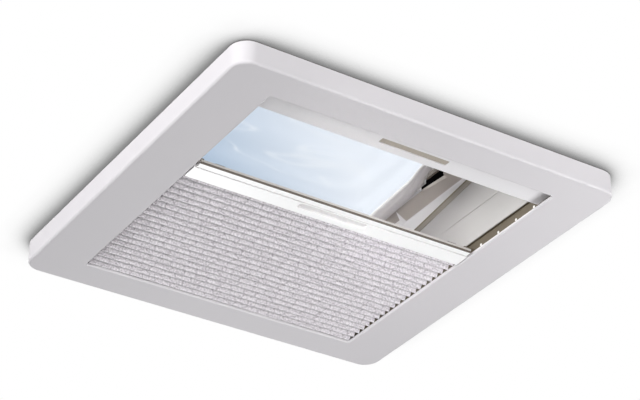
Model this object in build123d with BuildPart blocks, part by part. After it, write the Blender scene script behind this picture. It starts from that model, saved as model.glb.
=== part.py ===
from build123d import *
from math import atan2, cos, hypot, radians, sin, sqrt
import os

os.makedirs("parts", exist_ok=True)

# A roof window for a caravan. The origin is the centre of the bezel's underside, +Z points out
# through the roof, the blinds travel along Y and the dome opens about an axis along X on the -Y side.

# Fits and clearances
soft_gap = 0.3          # soft pieces to pieces of other bodies
slide_gap = 0.5         # sliding blind parts to their track
pin_gap = 0.05          # running fit of a pin, on the radius
shoe_gap = 0.2          # slide shoes and buttons in their slots
side_gap = 0.8          # moving arms beside plates
overcut = 1.0           # how far a cut or a root runs past the face it has to reach

# Roof cut-out and the roof frame, whose neck passes down through it
roof_thickness = 60.0
roof_cutout = 400.0
roof_seal_height = 3.0
roof_seal_inset = 5.0
roof_seal_play = 2.0
flange_reach_x = 35.0   # roof flange beside the curb
flange_reach_y = 38.0
flange_height = 3.0
flange_corner = 45.0
neck_clearance = 7.0
neck_wall = 3.5
neck_corner = 14.0
neck_lift = 2.0
curb_height = 37.0
curb_wall = 17.5
curb_corner = 28.0
lip_reach = 16.9
lip_drop = 12.0
lip_edge = 2.5
lip_ledge = 2.0         # thickness of the flat ledges past the lips' ends
lip_relief = 5.4
lip_relief_start = 42.0
lip_relief_end = -14.0
lip_end = 85.0          # the side lips stop here, with a slanted end
lip_end_slant = 11.0
neck_outer = roof_cutout - 2 * neck_clearance
neck_inner = neck_outer - 2 * neck_wall
curb_outer = neck_inner + 2 * curb_wall
flange_x = curb_outer + 2 * flange_reach_x
flange_y = curb_outer + 2 * flange_reach_y
lip_x = neck_inner / 2 - lip_reach

# Blinds. Two levels: the blackout blind is flush with the bezel and the flyscreen runs above it.
blind_floor = 0.3
bar_end_gap = 1.1
bar_near = -55.8
bar_far = -25.9
bar_wall = 4.0
bar_groove_y = -47.4
bar_groove_width = 2.0
bar_groove_depth = 2.6
bar_flange_notch = 2.2
bar_clamp_width = 5.4
bar_clamp_height = 5.4
bar_shoe_inset = 3.0
bar_shoe_play = 1.0
bar_shoe_foot = 8.0
grip_slot_x = 88.0
grip_slot_y = 10.0
grip_slot_depth = 2.6
grip_slot_corner = 4.0
grip_slot_middle = -40.2
edge_wall = 1.5
edge_seal_height = 2.0
edge_strip_height = 2.7
pleat_low = 1.5
pleat_height = 8.1
pleat_pitch = 10.8
pleat_sheet = 0.9
pleat_side_gap = 1.5
pleat_lip_gap = 3.0
pack_pitch = 2.4
pack_folds = 11
pack_height = 9.5
pack_sheet = 0.8
level_gap = 0.9         # between the two blinds
screen_tuck = 5.0       # how far the parked screen's bar reaches behind the bezel
screen_width = 39.7
screen_wall = 3.5
screen_end_gap = 1.3
screen_clamp_width = 4.0
screen_clamp_height = 4.6
screen_room = 0.4       # under the cassette's top wall
screen_shoe_inset = 2.0
screen_shoe_end = 5.0
screen_shoe_foot = 6.0
screen_slot_x = 86.0
screen_slot_y = 8.7
screen_slot_corner = 1.2
screen_slot_shift = 11.0
screen_slot_margin = 15.0
screen_tray_wall = 1.0
screen_tray_rim = 3.0
screen_tray_recess = 1.0
screen_tray_gap = 0.15
mesh_folds = 12
mesh_room = 0.35
mesh_sheet = 0.5
magnet_x = 12.0
magnet_y = 4.0
magnet_z = 3.0
magnet_place = 150.0
magnet_inset = 3.0
screen_z = blind_floor + bar_wall + bar_clamp_height + level_gap
mesh_height = screen_wall + screen_clamp_height + screen_room - slide_gap / 2 - mesh_room

# Bezel, the inner frame that shows in the room, with the opening for the blinds
bezel_plate = 3.1
bezel_rim = 2.5
bezel_corner = 20.0
bezel_edge = 2.8
opening_inset = 8.0     # how far the opening's sides stand inside the liner
opening_reach = 12.2    # how far its +Y side stands outside the liner
opening_offset = 2.8    # how much farther its -Y side stands out
opening_corner = 2.2
opening_edge = 1.8
rim_seal_height = 1.0
rim_seal_inset = 0.6
rim_seal_width = 1.8

# Mounting frame, clamped to the ceiling from inside, with the liner collar
liner_gap = 1.0
liner_wall = 2.5
liner_corner = 12.0
liner_middle = 74.5     # height of the sloping edge over the ceiling, at y = 0
liner_slope = 0.132
liner_level_y = -70.0
liner_bead = 0.4
liner_bead_height = 1.2
liner_bead_rise = 36.0
mount_flange = 2.7
mount_flange_width = 39.0
mount_flange_play = 10.0
clip_rib_x = 18.0       # from the liner's inner face to the rib's middle
clip_rib_wall = 3.0
clip_rib_gap = 1.4      # from the ribs down to the clips' floor
joint_seal_height = 4.5
joint_seal_set_back = 0.8
joint_seal_gap = 0.2
edge_band_height = 6.5
edge_band_stand = 0.8
screw_radius = 2.0
screw_head_radius = 4.0
screw_head_height = 2.4
screw_head_edge = 0.6
screw_length = 46.0
screw_spread = 120.0
boss_radius = 3.5
boss_root = 0.5
boss_height = 52.0
boss_end = 4.0
liner_inner = neck_inner - 2 * (liner_gap + liner_wall)
boss_offset = neck_outer / 2 + boss_radius - boss_root

# Snap clips that hold the bezel to the mounting frame
clip_y = 150.0
clip_length = 14.0
clip_sheet = 0.8
clip_height = 9.0
clip_gap = 0.1
post_height = 5.0
post_wall = 3.0

# Cassettes that take up the folded cloth beyond both ends of the opening
cassette_depth = 34.0
cassette_wall = 1.5
cassette_top_gap = 1.3
cassette_lead = 2.2
cassette_play = 1.8
cassette_inset = 0.5
cassette_x = liner_inner / 2 - cassette_inset

opening_x = liner_inner - 2 * opening_inset
opening_far = liner_inner / 2 + opening_reach
opening_near = -(opening_far + opening_offset)
opening_y = opening_far - opening_near
opening_middle = (opening_far + opening_near) / 2
bezel_x = liner_inner + 2 * (mount_flange_width + mount_flange_play + bezel_rim)
bezel_y = 2 * (-opening_near + cassette_lead + cassette_depth + cassette_play + bezel_rim)
cassette_top = screen_z + screen_wall + screen_clamp_height + screen_room + cassette_wall
liner_low = cassette_top + cassette_top_gap + screw_head_height
ceiling_z = liner_low + mount_flange
bezel_height = ceiling_z - rim_seal_height
clip_rib_depth = liner_low - bezel_plate - post_height - clip_sheet - clip_rib_gap
roof_z = ceiling_z + roof_thickness
flange_z = roof_z + roof_seal_height
flange_top = flange_z + flange_height
curb_top = flange_top + curb_height

# Dome seal and the two acrylic panes
dome_seal_height = 14.7
dome_seal_reach = 11.5  # how far the seal stands in from the neck's inner face
dome_seal_width = 21.0
dome_seal_corner = 18.0
dome_seal_edge = 3.0
pane_wall = 3.0
dome_overhang = 25.0
dome_corner = 45.0
dome_skirt = 33.0       # how far the outer pane hangs below the rim
dome_rise = 47.0        # from the rim to the crown
dome_crown = 12.0
dome_edge = 20.0
rim_gap = 3.0           # rim of the inner pane to the outer pane
tray_margin = 2.0
tray_corner = 22.0
tray_edge = 4.0
tray_rise = 11.0
tray_crown = 2.0
spacer_width = 22.0
spacer_height = 12.0
dome_seal_inner = neck_inner / 2 - dome_seal_reach
dome_half = curb_outer / 2 + dome_overhang
tray_half = dome_seal_inner + tray_margin
rim_z = curb_top + dome_seal_height + soft_gap
tray_z = rim_z + tray_rise

# Opening linkage. The dome turns about the hinge, the bail about its pivot, and the bail's slider runs
# in a straight slot of the dome that points at the hinge. Hinge and slider are equally far from the
# bail pivot, so the bail turns exactly twice as far as the dome.
dome_open = 50.0
hinge_rise = 0.0
hinge_reach = 13.0      # how far the hinge's axis stands off the curb
bail_pivot_rise = 7.5
slider_set_back = 29.5  # from the neck's inner face at +Y
slider_rise = 1.0
slider_y = neck_inner / 2 - slider_set_back
bail_pivot_y = (slider_y - curb_outer / 2 - hinge_reach) / 2
hinge_z = curb_top + hinge_rise
bail_pivot_z = curb_top + bail_pivot_rise
slider_z = curb_top + slider_rise
bail_reach = hypot(slider_y - bail_pivot_y, slider_z - bail_pivot_z)
hinge_y = bail_pivot_y - sqrt(bail_reach**2 - (bail_pivot_z - hinge_z) ** 2)
slot_angle = atan2(slider_z - hinge_z, slider_y - hinge_y)
pivot_angle = atan2(bail_pivot_z - hinge_z, bail_pivot_y - hinge_y)
slot_far = hypot(slider_y - hinge_y, slider_z - hinge_z)
slot_near = 2 * bail_reach * cos(radians(dome_open) + slot_angle - pivot_angle)

# Dome hinges
hinge_x = 130.0
hinge_width = 36.0
hinge_knuckle = 5.0
hinge_pin = 2.0
hinge_pin_stand = 1.0
hinge_leaf_width = 12.0
hinge_leaf_foot = 20.0
hinge_plate = 3.0
hinge_plate_drop = 20.0
hinge_play = 0.3
hinge_screw_drop = 14.0
hinge_screw_head = 3.2
hinge_screw_height = 1.8

# Bail: a U-shaped tube whose ends bend up and taper to flat eyes
tube_radius = 8.5
tube_bend = 30.0
crossbar_drop = 14.3
arm_end_y = 30.0        # where the round arm ends and the tapered neck begins
arm_end_rise = -4.7
neck_end_y = -10.0
neck_radius = 5.6
eye_radius = 7.0
eye_width = 9.0
pivot_pin = 3.0
slider_pin = 2.0
slider_pin_stand = 0.6
shoe_radius = 4.0
guide_wall = 4.2
guide_gap = 2.6
guide_rim = 2.0
guide_overrun = 2.0
guide_sheet = 2.4       # shelf and upright of the guide rails
guide_hold = 4.5        # how far the upright reaches up inside the tray
lug_width = 4.0
lug_radius = 5.0
lug_root = 3.0
bracket_wall = 3.0
bracket_gap = 2.0
bracket_length = 30.0
bracket_tail = 44.0
bracket_tail_low = 3.0
bracket_tail_height = 6.0
bracket_foot = 2.0
bracket_tooth = 2.0
bracket_teeth = 3
foot_screw_margin = 1.0
guide_outer = lip_x - guide_gap
guide_inner = guide_outer - guide_wall
arm_x = guide_inner - side_gap - tube_radius
bracket_inner = arm_x + tube_radius + bracket_gap
bracket_outer = bracket_inner + bracket_wall
crossbar_z = slider_z - crossbar_drop
rest_x = 90.0
rest_width = 16.0
rest_wall = 4.0
rest_drop = 14.0
rest_reach = 2.0

# Grip on the bail with its release button
grip_x = 64.0
grip_y = 24.0
grip_low = 15.5
grip_high = 10.5
grip_corner = 5.0
button_x = 20.0
button_y = 13.0
button_corner = 2.0
button_edge = 1.0
button_stand = 3.6
button_lip = 1.4
button_lip_height = 1.2
button_wall = 1.2
button_room = 5.6
spring_radius = 3.6
spring_wire = 0.35
spring_turns = 2.5

# Blind rails at both sides of the opening
rail_gap = 1.0
rail_wall = 3.0
rail_foot = 11.0
rail_foot_height = 1.5
rail_overrun = 4.0
rail_top_gap = 0.1
rail_groove_depth = 1.6
rail_groove_height = 2.4
low_groove_z = 5.6
high_groove_drop = 0.7
peg_radius = 1.5
peg_stand = 0.4
peg_play = 0.3
peg_pitch = 32.5
peg_inset = 14.5
peg_rise = 10.0
track_screw_head = 2.8
track_screw_height = 1.6
track_screw_margin = 1.0
track_screw_inset = 15.0
rail_x = liner_inner / 2 + rail_gap
rail_half_length = rail_overrun - opening_near
rail_top = liner_low - rail_top_gap
high_groove_z = rail_top - high_groove_drop - rail_groove_height
shoe_x = rail_x - peg_stand - peg_play


def ring(outer_x, outer_y, outer_corner, inner_x, inner_y, inner_corner):
    """Rounded frame in the sketch that is open."""
    RectangleRounded(outer_x, outer_y, outer_corner)
    RectangleRounded(inner_x, inner_y, inner_corner, mode=Mode.SUBTRACT)


def outline(*points):
    """Closed straight-sided face in the sketch that is open."""
    Polygon(*points, align=None)


def crowned_block(half, corner, low, high, crown, edge):
    """Block with rounded corners whose top is a shallow sphere, with its rim rounded."""
    sphere_radius = (half**2 + crown**2) / (2 * crown)
    with BuildPart() as block:
        with BuildSketch(Plane.XY.offset(low)):
            RectangleRounded(2 * half, 2 * half, corner)
        extrude(amount=high - low)
        with Locations((0, 0, high - sphere_radius)):
            Sphere(sphere_radius, mode=Mode.INTERSECT)
        if edge:
            fillet(block.faces().sort_by(Axis.Z)[-1].edges(), edge)
    return block.part


def folds(start, end, low, height, flanks, sheet, first=0, tail=0.0):
    """Points of a zigzag sheet across Y with that many flanks and a rising tail, in the Y-Z plane."""
    flank = (end - start) / flanks
    lift = sheet * hypot(flank, height) / flank
    under = [(start + flank * i, low + (height - lift) * ((first + i) % 2)) for i in range(flanks + 1)]
    if tail:
        under.append((end + tail, low + height - lift))
    over = [(y, z + lift) for y, z in reversed(under)]
    return under + over


# Bezel: plate with the blind opening, a rim up to the ceiling and posts for the snap clips
rib_x = liner_inner / 2 + clip_rib_x
clip_half = clip_rib_wall / 2 + clip_gap + clip_sheet
with BuildPart() as bezel:
    with BuildSketch():
        RectangleRounded(bezel_x, bezel_y, bezel_corner)
    extrude(amount=bezel_height)
    fillet(bezel.faces().sort_by(Axis.Z)[0].edges(), bezel_edge)
    with BuildSketch(Plane.XY.offset(bezel_plate)):
        RectangleRounded(bezel_x - 2 * bezel_rim, bezel_y - 2 * bezel_rim, bezel_corner - bezel_rim)
    extrude(amount=bezel_height, mode=Mode.SUBTRACT)
    with BuildSketch():
        with Locations((0, opening_middle)):
            RectangleRounded(opening_x, opening_y, opening_corner)
    extrude(amount=bezel_plate, mode=Mode.SUBTRACT)
    fillet(bezel.faces().sort_by(Axis.Z)[0].inner_wires().edges(), opening_edge)
    with BuildSketch(Plane.XY.offset(bezel_plate)):
        with Locations(*[(side * rib_x, y) for side in (-1, 1) for y in (-clip_y, 0, clip_y)]):
            Rectangle(2 * clip_half + 2 * post_wall, clip_length)
    extrude(amount=post_height)
bezel.part.label = "bezel"
export_step(bezel.part, "parts/bezel.step")

# Snap clips: spring-steel channels on the bezel's posts that grip the mounting frame's ribs
clip_base = bezel_plate + post_height
with BuildPart() as bezel_clips:
    with BuildSketch(Plane.XZ):
        with Locations(*[(side * rib_x, clip_base) for side in (-1, 1)]):
            Rectangle(2 * clip_half, clip_height, align=(Align.CENTER, Align.MIN))
        with Locations(*[(side * rib_x, clip_base + clip_sheet) for side in (-1, 1)]):
            Rectangle(2 * (clip_half - clip_sheet), clip_height, align=(Align.CENTER, Align.MIN),
                      mode=Mode.SUBTRACT)
    extrude(amount=clip_y + clip_length / 2, both=True)
    for y in (-clip_y / 2, clip_y / 2):
        with Locations((0, y, clip_base + clip_height / 2)):
            Box(bezel_x, clip_y - clip_length, 2 * clip_height, mode=Mode.SUBTRACT)
bezel_clips.part.label = "bezel_clips"
export_step(bezel_clips.part, "parts/bezel_clips.step")

# Rim seal: thin dark foam between the bezel's rim and the ceiling
rim_seal_inner = rim_seal_inset + rim_seal_width
with BuildPart() as rim_seal:
    with BuildSketch(Plane.XY.offset(bezel_height)):
        ring(bezel_x - 2 * rim_seal_inset, bezel_y - 2 * rim_seal_inset, bezel_corner - rim_seal_inset,
             bezel_x - 2 * rim_seal_inner, bezel_y - 2 * rim_seal_inner, bezel_corner - rim_seal_inner)
    extrude(amount=rim_seal_height)
rim_seal.part.label = "rim_seal"
export_step(rim_seal.part, "parts/rim_seal.step")

# Mounting frame: flange under the ceiling, liner collar up into the neck, ribs for the clips
screw_places = [(side * boss_offset, along) for side in (-1, 1) for along in (-screw_spread, screw_spread)]
screw_places += [(y, x) for x, y in screw_places]
liner_outer = liner_inner + 2 * liner_wall
liner_reach = liner_outer / 2 + overcut
liner_top = ceiling_z + liner_middle
liner_line = [
    (-liner_reach, liner_top - liner_slope * liner_level_y),
    (liner_level_y, liner_top - liner_slope * liner_level_y),
    (liner_reach, liner_top - liner_slope * liner_reach),
]
with BuildPart() as mounting_frame:
    with BuildSketch(Plane.XY.offset(liner_low)):
        ring(liner_outer, liner_outer, liner_corner + liner_wall, liner_inner, liner_inner, liner_corner)
    extrude(amount=curb_top - liner_low)
    with BuildSketch(Plane.YZ):
        outline((-liner_reach, liner_low), *liner_line, (liner_reach, liner_low))
    extrude(amount=liner_reach, both=True, mode=Mode.INTERSECT)
    with BuildSketch(Plane.XY.offset(liner_low)):
        ring(liner_inner + 2 * mount_flange_width, liner_inner + 2 * mount_flange_width, liner_corner,
             liner_inner, liner_inner, liner_corner)
        with Locations(*screw_places):
            Circle(screw_radius + slide_gap, mode=Mode.SUBTRACT)
    extrude(amount=mount_flange)
    with BuildSketch(Plane.XY.offset(liner_low - clip_rib_depth)):
        with Locations((-rib_x, 0), (rib_x, 0)):
            Rectangle(clip_rib_wall, 2 * clip_y + 2 * clip_length)
    extrude(amount=clip_rib_depth)
    with BuildSketch(Plane.XY.offset(ceiling_z + liner_bead_rise)):
        ring(liner_outer, liner_outer, liner_corner + liner_wall, liner_inner - 2 * liner_bead,
             liner_inner - 2 * liner_bead, liner_corner - liner_bead)
    extrude(amount=liner_bead_height)
mounting_frame.part.label = "mounting_frame"
export_step(mounting_frame.part, "parts/mounting_frame.step")

# Mounting screws: pan-head screws up into the bosses of the roof frame's neck
with BuildPart() as mounting_screws:
    with BuildSketch(Plane.XY.offset(liner_low - screw_head_height)):
        with Locations(*screw_places):
            Circle(screw_head_radius)
    extrude(amount=screw_head_height)
    with BuildSketch(Plane.XY.offset(liner_low)):
        with Locations(*screw_places):
            Circle(screw_radius)
    extrude(amount=screw_length)
    chamfer(mounting_screws.faces().sort_by(Axis.Z)[:8].edges(), screw_head_edge)
mounting_screws.part.label = "mounting_screws"
export_step(mounting_screws.part, "parts/mounting_screws.step")

# Roof frame: roof flange, neck with screw bosses, and the curb whose side lips lean inwards
neck_low = ceiling_z + neck_lift
lip_half_length = neck_inner / 2 - neck_corner
with BuildPart() as roof_frame:
    with BuildSketch(Plane.XY.offset(flange_z)):
        RectangleRounded(flange_x, flange_y, flange_corner)
    extrude(amount=flange_height)
    with BuildSketch(Plane.XY.offset(neck_low)):
        RectangleRounded(neck_outer, neck_outer, neck_corner + neck_wall)
        with Locations(*screw_places):
            Circle(boss_radius)
    extrude(amount=boss_height)
    with BuildSketch(Plane.XY.offset(neck_low)):
        RectangleRounded(neck_outer, neck_outer, neck_corner + neck_wall)
    extrude(amount=flange_z - neck_low)
    with BuildSketch(Plane.XY.offset(flange_top)):
        RectangleRounded(curb_outer, curb_outer, curb_corner)
    extrude(amount=curb_height)
    with BuildSketch(Plane.XY.offset(neck_low)):
        RectangleRounded(neck_inner, neck_inner, neck_corner)
    extrude(amount=curb_top - neck_low, mode=Mode.SUBTRACT)
    for side in (-1, 1):
        with BuildSketch(Plane.XZ):
            outline((side * neck_inner / 2, curb_top - lip_drop), (side * lip_x, curb_top - lip_edge),
                    (side * lip_x, curb_top), (side * (neck_inner / 2 + overcut), curb_top),
                    (side * (neck_inner / 2 + overcut), curb_top - lip_drop))
        extrude(amount=lip_half_length, both=True)
        with BuildSketch(Plane.XY.offset(curb_top)):
            outline((side * lip_x, lip_relief_start), (side * (lip_x + lip_relief), lip_relief_end),
                    (side * (lip_x - overcut), lip_relief_end), (side * (lip_x - overcut), lip_relief_start))
            outline((side * lip_x, lip_end), (side * neck_inner / 2, lip_end + lip_end_slant),
                    (side * neck_inner / 2, lip_half_length), (side * lip_x, lip_half_length))
        extrude(amount=-lip_drop, mode=Mode.SUBTRACT)
    with BuildSketch(Plane.XY.offset(neck_low)):
        with Locations(*screw_places):
            Circle(screw_radius)
    extrude(amount=boss_height - boss_end, mode=Mode.SUBTRACT)
roof_frame.part.label = "roof_frame"
export_step(roof_frame.part, "parts/roof_frame.step")

# Curb ledges: flat plates on the curb's wall that carry on the line of the lips past their ends
for side, name in ((-1, "left"), (1, "right")):
    with BuildPart() as curb_ledge:
        with BuildSketch(Plane.XY.offset(curb_top - lip_ledge)):
            outline((side * lip_x, lip_end), (side * neck_inner / 2, lip_end + lip_end_slant),
                    (side * neck_inner / 2, lip_half_length), (side * lip_x, lip_half_length))
        extrude(amount=lip_ledge)
    curb_ledge.part.label = f"curb_ledge_{name}"
    export_step(curb_ledge.part, f"parts/curb_ledge_{name}.step")

# Roof seal: flat gasket under the roof flange
roof_seal_inner = roof_cutout + 2 * roof_seal_play
with BuildPart() as roof_seal:
    with BuildSketch(Plane.XY.offset(roof_z)):
        ring(flange_x - 2 * roof_seal_inset, flange_y - 2 * roof_seal_inset, flange_corner - roof_seal_inset,
             roof_seal_inner, roof_seal_inner, neck_corner)
    extrude(amount=roof_seal_height)
roof_seal.part.label = "roof_seal"
export_step(roof_seal.part, "parts/roof_seal.step")

# Joint seal: olive strip along the liner's sloping edge, against the neck
joint_inner = liner_inner + 2 * joint_seal_set_back
joint_outer = neck_inner - 2 * joint_seal_gap
with BuildPart() as joint_seal:
    with BuildSketch(Plane.XY.offset(ceiling_z)):
        ring(joint_outer, joint_outer, liner_corner + liner_wall, joint_inner, joint_inner, liner_corner)
    extrude(amount=curb_height + roof_thickness)
    with BuildSketch(Plane.YZ):
        outline(*liner_line, *[(y, z + joint_seal_height) for y, z in reversed(liner_line)])
    extrude(amount=liner_reach, both=True, mode=Mode.INTERSECT)
joint_seal.part.label = "joint_seal"
export_step(joint_seal.part, "parts/joint_seal.step")

# Liner edge band: grey strip inside the liner, just under its sloping edge
band_inner = liner_inner - 2 * edge_band_stand
with BuildPart() as liner_edge_band:
    with BuildSketch(Plane.XY.offset(ceiling_z)):
        ring(liner_inner, liner_inner, liner_corner, band_inner, band_inner, liner_corner - edge_band_stand)
    extrude(amount=curb_height + roof_thickness)
    with BuildSketch(Plane.YZ):
        outline(*[(y, z - edge_band_height) for y, z in liner_line], *reversed(liner_line))
    extrude(amount=liner_reach, both=True, mode=Mode.INTERSECT)
liner_edge_band.part.label = "liner_edge_band"
export_step(liner_edge_band.part, "parts/liner_edge_band.step")

# Dome seal: black rubber profile round the top of the curb
with BuildPart() as dome_seal:
    with BuildSketch(Plane.XY.offset(curb_top)):
        ring(2 * (dome_seal_inner + dome_seal_width), 2 * (dome_seal_inner + dome_seal_width),
             dome_seal_corner + dome_seal_width, 2 * dome_seal_inner, 2 * dome_seal_inner, dome_seal_corner)
    extrude(amount=dome_seal_height)
    fillet(dome_seal.faces().sort_by(Axis.Z)[-1].edges(), dome_seal_edge)
dome_seal.part.label = "dome_seal"
export_step(dome_seal.part, "parts/dome_seal.step")

# Outer dome: clear acrylic shell with a crowned top and a skirt that hangs outside the curb
dome_low = rim_z - dome_skirt
dome_high = rim_z + dome_rise
dome_skin = crowned_block(dome_half, dome_corner, dome_low, dome_high, dome_crown, dome_edge)
dome_hollow = crowned_block(dome_half - pane_wall, dome_corner - pane_wall, dome_low - overcut,
                            dome_high - pane_wall, dome_crown, dome_edge - pane_wall)
with BuildPart() as outer_dome:
    add(dome_skin)
    add(dome_hollow, mode=Mode.SUBTRACT)
outer_dome.part.label = "outer_dome"
export_step(outer_dome.part, "parts/outer_dome.step")

# Inner dome: clear tray with a flat rim that closes on the dome seal
rim_half = dome_half - pane_wall - rim_gap
tray_skin = crowned_block(tray_half, tray_corner, rim_z, tray_z + pane_wall + tray_crown, tray_crown,
                          tray_edge)
tray_hollow = crowned_block(tray_half - pane_wall, tray_corner - pane_wall, rim_z - overcut,
                            tray_z + tray_crown, tray_crown, tray_edge - pane_wall)
with BuildPart() as inner_dome:
    with BuildSketch(Plane.XY.offset(rim_z)):
        RectangleRounded(2 * rim_half, 2 * rim_half, dome_corner - pane_wall)
    extrude(amount=pane_wall)
    add(tray_skin)
    add(tray_hollow, mode=Mode.SUBTRACT)
inner_dome.part.label = "inner_dome"
export_step(inner_dome.part, "parts/inner_dome.step")

# Dome spacer: frame that joins the two panes
spacer_outer = dome_half - pane_wall
with BuildPart() as dome_spacer:
    with BuildSketch(Plane.XY.offset(rim_z + pane_wall)):
        ring(2 * spacer_outer, 2 * spacer_outer, dome_corner - pane_wall, 2 * (spacer_outer - spacer_width),
             2 * (spacer_outer - spacer_width), dome_corner - spacer_width)
    extrude(amount=spacer_height)
    add(dome_hollow, mode=Mode.INTERSECT)
dome_spacer.part.label = "dome_spacer"
export_step(dome_spacer.part, "parts/dome_spacer.step")

# Hinges of the dome: bracket on the curb, leaf under the rim, one pin each
curb_face = -curb_outer / 2
hinge_foot_z = hinge_z - hinge_plate_drop
leaf_top = rim_z
hinge_notch = curb_face - hinge_plate - hinge_y + hinge_knuckle + overcut
for side, name in ((-1, "left"), (1, "right")):
    with BuildPart() as hinge_bracket:
        with BuildSketch(Plane.YZ.offset(side * hinge_x)):
            with Locations((hinge_y, hinge_z)):
                Circle(hinge_knuckle)
            outline((hinge_y, hinge_z - hinge_knuckle), (hinge_y, hinge_z), (curb_face, hinge_z - overcut),
                    (curb_face, hinge_foot_z), (curb_face - hinge_plate, hinge_foot_z),
                    (curb_face - hinge_plate, hinge_z - hinge_knuckle))
            with Locations((hinge_y, hinge_z)):
                Circle(hinge_pin, mode=Mode.SUBTRACT)
        extrude(amount=hinge_width / 2, both=True)
        with Locations((side * hinge_x, curb_face - hinge_plate, hinge_z)):
            Box(hinge_leaf_width + 2 * hinge_play, hinge_notch, 2 * (hinge_knuckle + 2 * overcut),
                align=(Align.CENTER, Align.MAX, Align.CENTER), mode=Mode.SUBTRACT)
    hinge_bracket.part.label = f"hinge_bracket_{name}"
    export_step(hinge_bracket.part, f"parts/hinge_bracket_{name}.step")

    with BuildPart() as hinge_leaf:
        with BuildSketch(Plane.YZ.offset(side * hinge_x)):
            with Locations((hinge_y, hinge_z)):
                Circle(hinge_knuckle)
            outline((hinge_y - hinge_knuckle, hinge_z), (hinge_y - hinge_knuckle, leaf_top),
                    (hinge_y - hinge_knuckle + hinge_plate, leaf_top), (hinge_y - hinge_pin / 2, hinge_z))
            with Locations((hinge_y, hinge_z)):
                Circle(hinge_pin + pin_gap, mode=Mode.SUBTRACT)
        extrude(amount=hinge_leaf_width / 2, both=True)
        with BuildSketch(Plane.XY.offset(leaf_top - hinge_plate)):
            with Locations((side * hinge_x, hinge_y - hinge_knuckle)):
                Rectangle(hinge_width, hinge_leaf_foot, align=(Align.CENTER, Align.MIN))
        extrude(amount=hinge_plate)
    hinge_leaf.part.label = f"hinge_leaf_{name}"
    export_step(hinge_leaf.part, f"parts/hinge_leaf_{name}.step")

with BuildPart() as hinge_pins:
    for side in (-1, 1):
        with BuildSketch(Plane.YZ.offset(side * hinge_x)):
            with Locations((hinge_y, hinge_z)):
                Circle(hinge_pin)
        extrude(amount=hinge_width / 2 + hinge_pin_stand, both=True)
hinge_pins.part.label = "hinge_pins"
export_step(hinge_pins.part, "parts/hinge_pins.step")

bracket_screw_places = [
    (side * hinge_x + offset, hinge_z - hinge_screw_drop)
    for side in (-1, 1) for offset in (-hinge_width / 3, hinge_width / 3)
]
with BuildPart() as hinge_bracket_screws:
    with BuildSketch(Plane.XZ.offset(-curb_face + hinge_plate)):
        with Locations(*bracket_screw_places):
            Circle(hinge_screw_head)
    extrude(amount=hinge_screw_height)
hinge_bracket_screws.part.label = "hinge_bracket_screws"
export_step(hinge_bracket_screws.part, "parts/hinge_bracket_screws.step")

leaf_screw_places = [
    (side * hinge_x + offset, hinge_y + hinge_leaf_foot / 2 - hinge_knuckle)
    for side in (-1, 1) for offset in (-hinge_width / 3, hinge_width / 3)
]
with BuildPart() as hinge_leaf_screws:
    with BuildSketch(Plane.XY.offset(leaf_top - hinge_plate)):
        with Locations(*leaf_screw_places):
            Circle(hinge_screw_head)
    extrude(amount=-hinge_screw_height)
hinge_leaf_screws.part.label = "hinge_leaf_screws"
export_step(hinge_leaf_screws.part, "parts/hinge_leaf_screws.step")

# Guide rails: slotted plates for the bail's slide shoes, each with a shelf and an upright that runs up
# to the side wall of the inner dome's tray
slot_height = shoe_radius + shoe_gap
slot_run = Plane(origin=(0, hinge_y, hinge_z), x_dir=(0, cos(slot_angle), sin(slot_angle)), z_dir=(1, 0, 0))
rail_near = hinge_y + slot_near - slot_height - guide_overrun - guide_rim
rail_far = hinge_y + slot_far + slot_height + guide_overrun + guide_rim
rail_low = slider_z - slot_height - guide_rim
shelf_low = slider_z + slot_height + guide_rim
tray_wall_x = tray_half - pane_wall
for side, name in ((-1, "left"), (1, "right")):
    with BuildPart() as guide_rail:
        with BuildSketch(Plane.XZ.offset(-rail_near)):
            outline((side * guide_inner, shelf_low), (side * guide_inner, shelf_low + guide_sheet),
                    (side * (tray_wall_x - guide_sheet), shelf_low + guide_sheet),
                    (side * (tray_wall_x - guide_sheet), rim_z + guide_hold),
                    (side * tray_wall_x, rim_z + guide_hold), (side * tray_wall_x, shelf_low))
        extrude(amount=-(tray_half - tray_corner - rail_near))
        with BuildSketch(Plane.YZ.offset(side * (guide_inner + guide_wall / 2))):
            outline((rail_near, rail_low), (rail_near, shelf_low + guide_sheet),
                    (rail_far, shelf_low + guide_sheet), (rail_far, rail_low))
        extrude(amount=guide_wall / 2, both=True)
        with BuildSketch(slot_run.offset(side * (guide_inner + guide_wall / 2))):
            with Locations(((slot_near - guide_overrun + slot_far + guide_overrun) / 2, 0)):
                SlotCenterToCenter(slot_far - slot_near + 2 * guide_overrun, 2 * slot_height)
        extrude(amount=guide_wall, both=True, mode=Mode.SUBTRACT)
    guide_rail.part.label = f"guide_rail_{name}"
    export_step(guide_rail.part, f"parts/guide_rail_{name}.step")

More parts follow.
